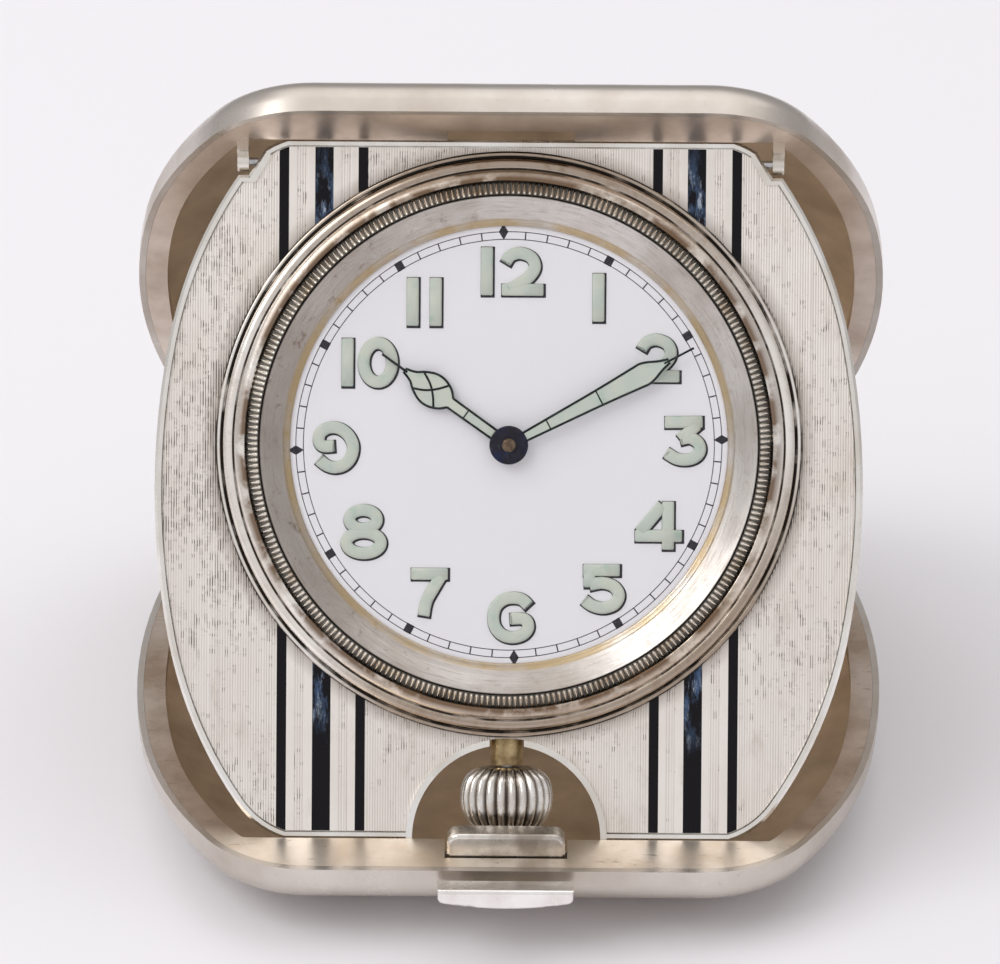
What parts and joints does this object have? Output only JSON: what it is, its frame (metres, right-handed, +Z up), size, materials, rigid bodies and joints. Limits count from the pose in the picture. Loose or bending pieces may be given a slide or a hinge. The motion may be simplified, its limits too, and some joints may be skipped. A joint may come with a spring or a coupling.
{
  "type": "travel clock",
  "caption": "Folding travel clock: two cushion-shaped covers hinged at the rear hold a clock leaf up as a tent, with bezel, hands, crown and latch.",
  "frame": {"origin": "centre of the flat on the lower cover's underside, on the table", "axes": "+Z up, -Y towards the viewer at the latch, +Y towards the case hinge, +X right"},
  "size_m": [0.0682, 0.0739, 0.0669],
  "materials": {
    "silver": "worn silver, fine scratches and brown tarnish",
    "engraved": "silver with fine engraved vertical lines",
    "bright": "polished silver",
    "gilt": "old gilt brass",
    "steel": "polished clock steel",
    "blued": "blued steel, nearly black",
    "enamel_white": "white fired enamel",
    "enamel_black": "black fired enamel, glassy",
    "lume": "pale green luminous paint",
    "glass": "clear domed glass"
  },
  "bodies": {
    "lower_case": {"lower_cover": "silver", "lower_rim": "silver", "lower_knuckles": "silver", "hinge_pin": "steel", "latch_spring": "steel"},
    "latch": {"latch_catch": "silver", "latch_button": "silver"},
    "upper_case": {"upper_cover": "silver", "upper_rim": "silver", "upper_knuckles": "silver", "pivot_lugs": "silver"},
    "leaf": {"leaf_frame": "silver", "front_plate": "engraved", "enamel_stripes": "enamel_black", "arch_trim": "bright", "pivot_pins": "steel", "bezel": "silver", "coin_edge_ring": "silver", "inner_ring": "silver", "glass": "glass", "dial": "enamel_white", "movement_case": "gilt", "case_back": "gilt", "main_plate": "gilt", "train_bridge": "gilt", "balance_cock": "gilt", "barrel_arbor": "steel", "minute_wheel_stud": "steel", "stem_tube": "gilt"},
    "minute_work": {"minute_hand": "blued", "minute_lume": "lume", "hand_cap": "blued", "cannon_pinion": "steel", "centre_wheel": "gilt"},
    "hour_work": {"hour_hand": "blued", "hour_lume": "lume", "hour_wheel": "gilt"},
    "minute_wheel": {"minute_wheel": "gilt"},
    "barrel": {"barrel": "gilt"},
    "third_wheel": {"third_wheel": "gilt"},
    "fourth_wheel": {"fourth_wheel": "gilt"},
    "escape_wheel": {"escape_wheel": "steel"},
    "pallet_fork": {"pallet_fork": "steel"},
    "balance": {"balance": "gilt", "hairspring": "steel"},
    "stem": {"winding_stem": "steel"},
    "crown": {"crown": "silver"}
  },
  "joints": [
    {"name": "case_hinge", "type": "hinge", "parent": "lower_case", "child": "upper_case", "pos_m": [0, 0.03565, 0.0079], "axis": [-1, 0, 0], "range_deg": [0, 62]},
    {"name": "leaf_pivot", "type": "hinge", "parent": "upper_case", "child": "leaf", "pos_m": [0, -0.00023, 0.05937], "axis": [1, 0, 0], "range_deg": [0, 62]},
    {"name": "latch_press", "type": "slide", "parent": "lower_case", "child": "latch", "axis": [0, 1, 0], "range_m": [0, 0.0008], "stiffness_N_per_m": 400},
    {"name": "minute_turn", "type": "hinge", "parent": "leaf", "child": "minute_work", "pos_m": [0, -0.01239, 0.03798], "axis": [0, -0.8829, 0.4695], "continuous": true},
    {"name": "hour_turn", "type": "hinge", "parent": "leaf", "child": "hour_work", "pos_m": [0, -0.01239, 0.03798], "axis": [0, -0.8829, 0.4695], "continuous": true},
    {"name": "minute_wheel_turn", "type": "hinge", "parent": "leaf", "child": "minute_wheel", "pos_m": [-0.00393, -0.01369, 0.03554], "axis": [0, -0.8829, 0.4695], "continuous": true},
    {"name": "barrel_turn", "type": "hinge", "parent": "leaf", "child": "barrel", "pos_m": [-0.00863, -0.01387, 0.0352], "axis": [0, -0.8829, 0.4695], "continuous": true},
    {"name": "third_wheel_turn", "type": "hinge", "parent": "leaf", "child": "third_wheel", "pos_m": [0.0014, -0.00994, 0.04258], "axis": [0, -0.8829, 0.4695], "continuous": true},
    {"name": "fourth_wheel_turn", "type": "hinge", "parent": "leaf", "child": "fourth_wheel", "pos_m": [0.00579, -0.00919, 0.04399], "axis": [0, -0.8829, 0.4695], "continuous": true},
    {"name": "escape_wheel_turn", "type": "hinge", "parent": "leaf", "child": "escape_wheel", "pos_m": [0.00928, -0.00996, 0.04256], "axis": [0, -0.8829, 0.4695], "continuous": true},
    {"name": "pallet_swing", "type": "hinge", "parent": "leaf", "child": "pallet_fork", "pos_m": [0.01008, -0.01136, 0.03991], "axis": [0, -0.8829, 0.4695], "range_deg": [-5, 5]},
    {"name": "balance_swing", "type": "hinge", "parent": "leaf", "child": "balance", "pos_m": [0.01149, -0.01384, 0.03526], "axis": [0, -0.8829, 0.4695], "range_deg": [-135, 135]},
    {"name": "crown_pull", "type": "slide", "parent": "leaf", "child": "stem", "axis": [0, -0.4695, -0.8829], "range_m": [0, 0.0008]},
    {"name": "crown_turn", "type": "hinge", "parent": "stem", "child": "crown", "pos_m": [0, -0.024, 0.0121], "axis": [0, -0.4695, -0.8829], "continuous": true}
  ],
  "couplings": [
    {"joint": "leaf_pivot", "follows": "case_hinge", "ratio": 1},
    {"joint": "minute_wheel_turn", "follows": "minute_turn", "ratio": -0.33333},
    {"joint": "hour_turn", "follows": "minute_turn", "ratio": 0.083333},
    {"joint": "barrel_turn", "follows": "minute_turn", "ratio": -0.125},
    {"joint": "third_wheel_turn", "follows": "minute_turn", "ratio": -8},
    {"joint": "fourth_wheel_turn", "follows": "minute_turn", "ratio": 60},
    {"joint": "escape_wheel_turn", "follows": "minute_turn", "ratio": -600}
  ]
}
